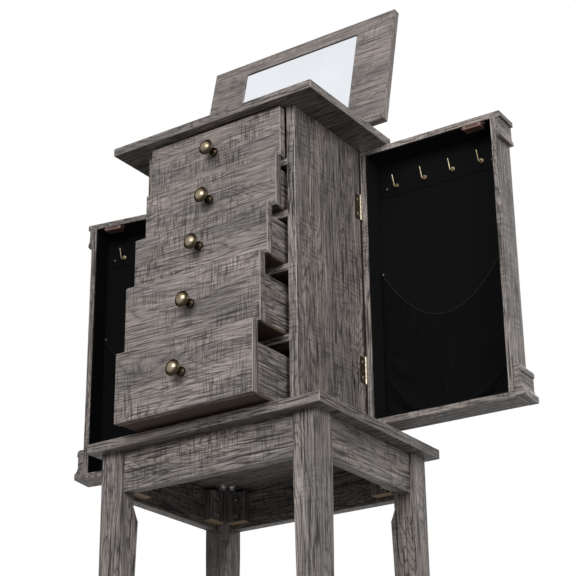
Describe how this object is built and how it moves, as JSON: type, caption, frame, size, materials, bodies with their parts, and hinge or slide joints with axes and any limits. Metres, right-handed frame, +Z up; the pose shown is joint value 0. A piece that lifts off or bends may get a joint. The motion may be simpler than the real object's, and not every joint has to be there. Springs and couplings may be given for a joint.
{
  "type": "jewelry cabinet",
  "caption": "Jewelry cabinet on a legged stand with drawers, swing-out necklace doors and a mirrored lift-up lid.",
  "frame": {"origin": "on the floor, midway between the four feet", "axes": "+X to the cabinet's right as seen from the front, +Y to the rear, +Z up"},
  "size_m": [0.6575, 0.3255, 1.0815],
  "materials": {
    "oak_board": "weathered grey oak laminate, satin",
    "oak_inside": "plain grey laminate, satin",
    "raw_wood": "raw pale wood, matt",
    "hardboard": "dark brown hardboard, matt",
    "felt": "black felt, matt",
    "brass": "antique brass, satin",
    "steel": "zinc-plated steel, satin",
    "knob_metal": "antique brass, polished dome",
    "catch_plastic": "brown plastic, matt",
    "mirror": "silvered glass, polished"
  },
  "bodies": {
    "cabinet": {"stand_top_board": "oak_board", "front_apron": "oak_board", "rear_apron": "oak_board", "left_apron": "oak_board", "right_apron": "oak_board", "leg_front_left": "oak_board", "leg_front_right": "oak_board", "leg_rear_left": "oak_board", "leg_rear_right": "oak_board", "left_side_panel": "oak_board", "right_side_panel": "oak_board", "top_board": "oak_board", "tray_walls": "oak_board", "corner_blocks": "oak_inside", "block_screws": "steel", "stand_bolts": "steel", "back_panel": "hardboard", "case_bottom": "hardboard", "drawer_rails": "oak_inside", "drawer_runners": "raw_wood", "tray_felt": "felt", "door_hinge_fixed_leaves": "brass", "lid_hinge_fixed_leaves": "brass"},
    "lid": {"lid_board": "oak_board", "lid_mirror": "mirror", "lid_hinge_leaves": "brass"},
    "left_door": {"left_door_panel": "oak_board", "left_door_frame": "oak_board", "left_door_mouldings": "oak_board", "left_door_felt": "felt", "left_door_hooks": "brass", "left_door_hinge_leaves": "brass", "left_door_catch": "catch_plastic"},
    "right_door": {"right_door_panel": "oak_board", "right_door_frame": "oak_board", "right_door_mouldings": "oak_board", "right_door_felt": "felt", "right_door_hooks": "brass", "right_door_hinge_leaves": "brass", "right_door_catch": "catch_plastic"},
    "drawer_1": {"drawer_1_front": "oak_board", "drawer_1_box": "oak_board", "drawer_1_bottom": "hardboard", "drawer_1_knob": "knob_metal"},
    "drawer_2": {"drawer_2_front": "oak_board", "drawer_2_box": "oak_board", "drawer_2_bottom": "hardboard", "drawer_2_knob": "knob_metal"},
    "drawer_3": {"drawer_3_front": "oak_board", "drawer_3_box": "oak_board", "drawer_3_bottom": "hardboard", "drawer_3_knob": "knob_metal"},
    "drawer_4": {"drawer_4_front": "oak_board", "drawer_4_box": "oak_board", "drawer_4_bottom": "hardboard", "drawer_4_knob": "knob_metal"},
    "drawer_5": {"drawer_5_front": "oak_board", "drawer_5_box": "oak_board", "drawer_5_bottom": "hardboard", "drawer_5_knob": "knob_metal"}
  },
  "joints": [
    {"name": "lid_hinge", "type": "hinge", "parent": "cabinet", "child": "lid", "pos_m": [0, 0.059, 0.8888], "axis": [-1, 0, 0], "range_deg": [-102.9, 0]},
    {"name": "right_door_hinge", "type": "hinge", "parent": "cabinet", "child": "right_door", "pos_m": [0.1173, 0.0535, 0.6535], "axis": [0, 0, 1], "range_deg": [-91.7, 20]},
    {"name": "left_door_hinge", "type": "hinge", "parent": "cabinet", "child": "left_door", "pos_m": [-0.1173, 0.0535, 0.6535], "axis": [0, 0, -1], "range_deg": [-79.5, 32]},
    {"name": "drawer_1_slide", "type": "slide", "parent": "cabinet", "child": "drawer_1", "axis": [0, -1, 0], "range_m": [0, 0.112]},
    {"name": "drawer_2_slide", "type": "slide", "parent": "cabinet", "child": "drawer_2", "axis": [0, -1, 0], "range_m": [-0.0095, 0.1025]},
    {"name": "drawer_3_slide", "type": "slide", "parent": "cabinet", "child": "drawer_3", "axis": [0, -1, 0], "range_m": [-0.029, 0.083]},
    {"name": "drawer_4_slide", "type": "slide", "parent": "cabinet", "child": "drawer_4", "axis": [0, -1, 0], "range_m": [-0.0445, 0.0675]},
    {"name": "drawer_5_slide", "type": "slide", "parent": "cabinet", "child": "drawer_5", "axis": [0, -1, 0], "range_m": [-0.06, 0.052]}
  ]
}
